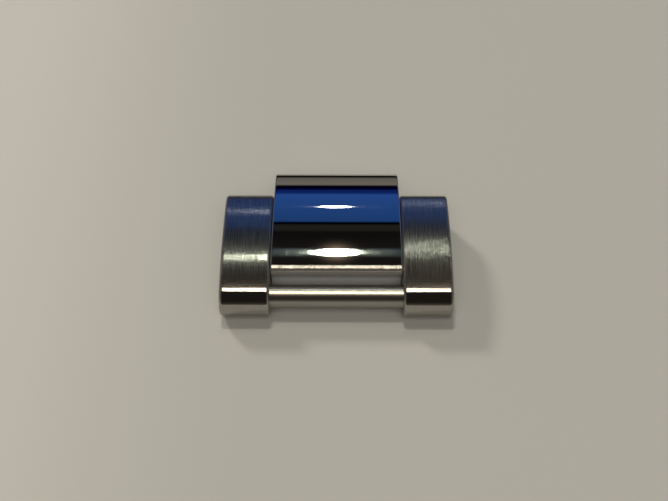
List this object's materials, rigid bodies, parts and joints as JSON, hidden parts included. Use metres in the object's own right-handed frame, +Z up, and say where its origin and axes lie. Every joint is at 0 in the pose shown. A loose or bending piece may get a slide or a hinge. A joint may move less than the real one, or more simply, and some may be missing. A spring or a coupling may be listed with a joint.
{
  "type": "watch bracelet link",
  "caption": "Solid metal watch bracelet link: a polished centre set back between brushed outer links, with a screwed hinge tube across its open front and a bore in its rear end.",
  "frame": {"origin": "on the table under the link, midway across its width and midway between the front hinge tube's axis and the rear bore's axis", "axes": "+X across the bracelet to the right as seen from the open front, +Y along the bracelet from the open front to the rear end, +Z up, away from the wrist"},
  "size_m": [0.016, 0.0128, 0.0035],
  "materials": {
    "brushed_link_steel": "stainless steel, brushed along the bracelet",
    "polished_link_steel": "stainless steel, mirror polished",
    "tube_steel": "stainless steel, drawn and polished",
    "screw_steel": "stainless steel, turned",
    "pin_steel": "stainless steel, ground"
  },
  "bodies": {
    "link": {"outer_link_left": "brushed_link_steel", "outer_link_right": "brushed_link_steel", "centre_link": "polished_link_steel", "pressed_pin_front": "pin_steel", "pressed_pin_rear": "pin_steel"},
    "tube": {"hinge_tube": "tube_steel"},
    "left_screw": {"tube_screw_left": "screw_steel"},
    "right_screw": {"tube_screw_right": "screw_steel"}
  },
  "joints": [
    {"name": "tube_turn", "type": "hinge", "parent": "link", "child": "tube", "pos_m": [0, -0.005, 0.0014], "axis": [1, 0, 0], "continuous": true},
    {"name": "left_screw_withdraw", "type": "slide", "parent": "link", "child": "left_screw", "axis": [-1, 0, 0], "range_m": [0, 0.0035]},
    {"name": "right_screw_withdraw", "type": "slide", "parent": "link", "child": "right_screw", "axis": [1, 0, 0], "range_m": [0, 0.0035]}
  ]
}
